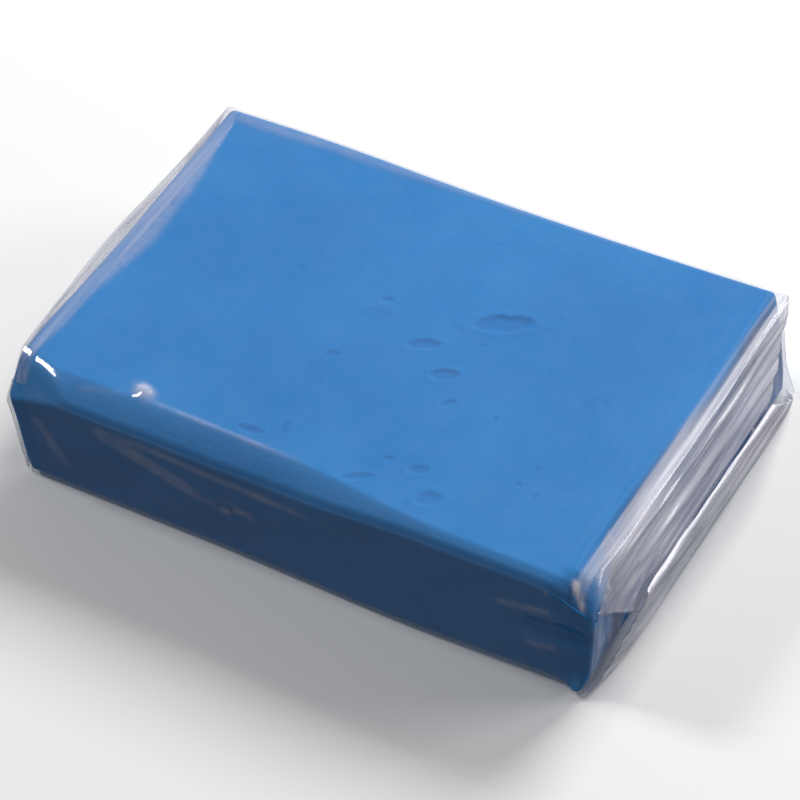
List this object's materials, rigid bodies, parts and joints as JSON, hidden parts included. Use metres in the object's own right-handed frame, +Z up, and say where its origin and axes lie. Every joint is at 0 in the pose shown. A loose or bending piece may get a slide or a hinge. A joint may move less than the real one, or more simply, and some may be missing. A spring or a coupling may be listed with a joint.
{
  "type": "clay bar",
  "caption": "Rectangular block of kneadable detailing clay in a clear film overwrap, folded parcel-fashion over both ends with hinged end flaps.",
  "frame": {"origin": "centre of the underside of the wrapped block, on the surface it rests on", "axes": "+X along the block's length towards the right end, +Y towards the back, +Z up through the thickness"},
  "size_m": [0.1056, 0.062, 0.0214],
  "materials": {
    "clay": "matt, waxy, slightly tacky",
    "film": "clear glossy film, wrinkled"
  },
  "bodies": {
    "wrapped_block": {"clay_block": "clay", "top_panel": "film", "bottom_inner_panel": "film", "bottom_lap_panel": "film", "front_panel": "film", "back_panel": "film", "right_front_tuck": "film", "right_back_tuck": "film", "left_front_tuck": "film", "left_back_tuck": "film"},
    "right_bottom_flap": {"right_bottom_flap": "film"},
    "right_top_flap": {"right_top_flap": "film"},
    "left_bottom_flap": {"left_bottom_flap": "film"},
    "left_top_flap": {"left_top_flap": "film"}
  },
  "joints": [
    {"name": "right_bottom_flap_crease", "type": "hinge", "parent": "wrapped_block", "child": "right_bottom_flap", "pos_m": [0.0498, 0, 0.0002], "axis": [0, 1, 0], "range_deg": [0, 76]},
    {"name": "right_top_flap_crease", "type": "hinge", "parent": "wrapped_block", "child": "right_top_flap", "pos_m": [0.0493, 0, 0.0213], "axis": [0, -1, 0], "range_deg": [0, 84]},
    {"name": "left_bottom_flap_crease", "type": "hinge", "parent": "wrapped_block", "child": "left_bottom_flap", "pos_m": [-0.0498, 0, 0.0002], "axis": [0, -1, 0], "range_deg": [0, 76]},
    {"name": "left_top_flap_crease", "type": "hinge", "parent": "wrapped_block", "child": "left_top_flap", "pos_m": [-0.0493, 0, 0.0213], "axis": [0, 1, 0], "range_deg": [0, 84]}
  ],
  "couplings": [
    {"joint": "right_top_flap_crease", "follows": "right_bottom_flap_crease", "ratio": 1.1},
    {"joint": "left_top_flap_crease", "follows": "left_bottom_flap_crease", "ratio": 1.1}
  ]
}
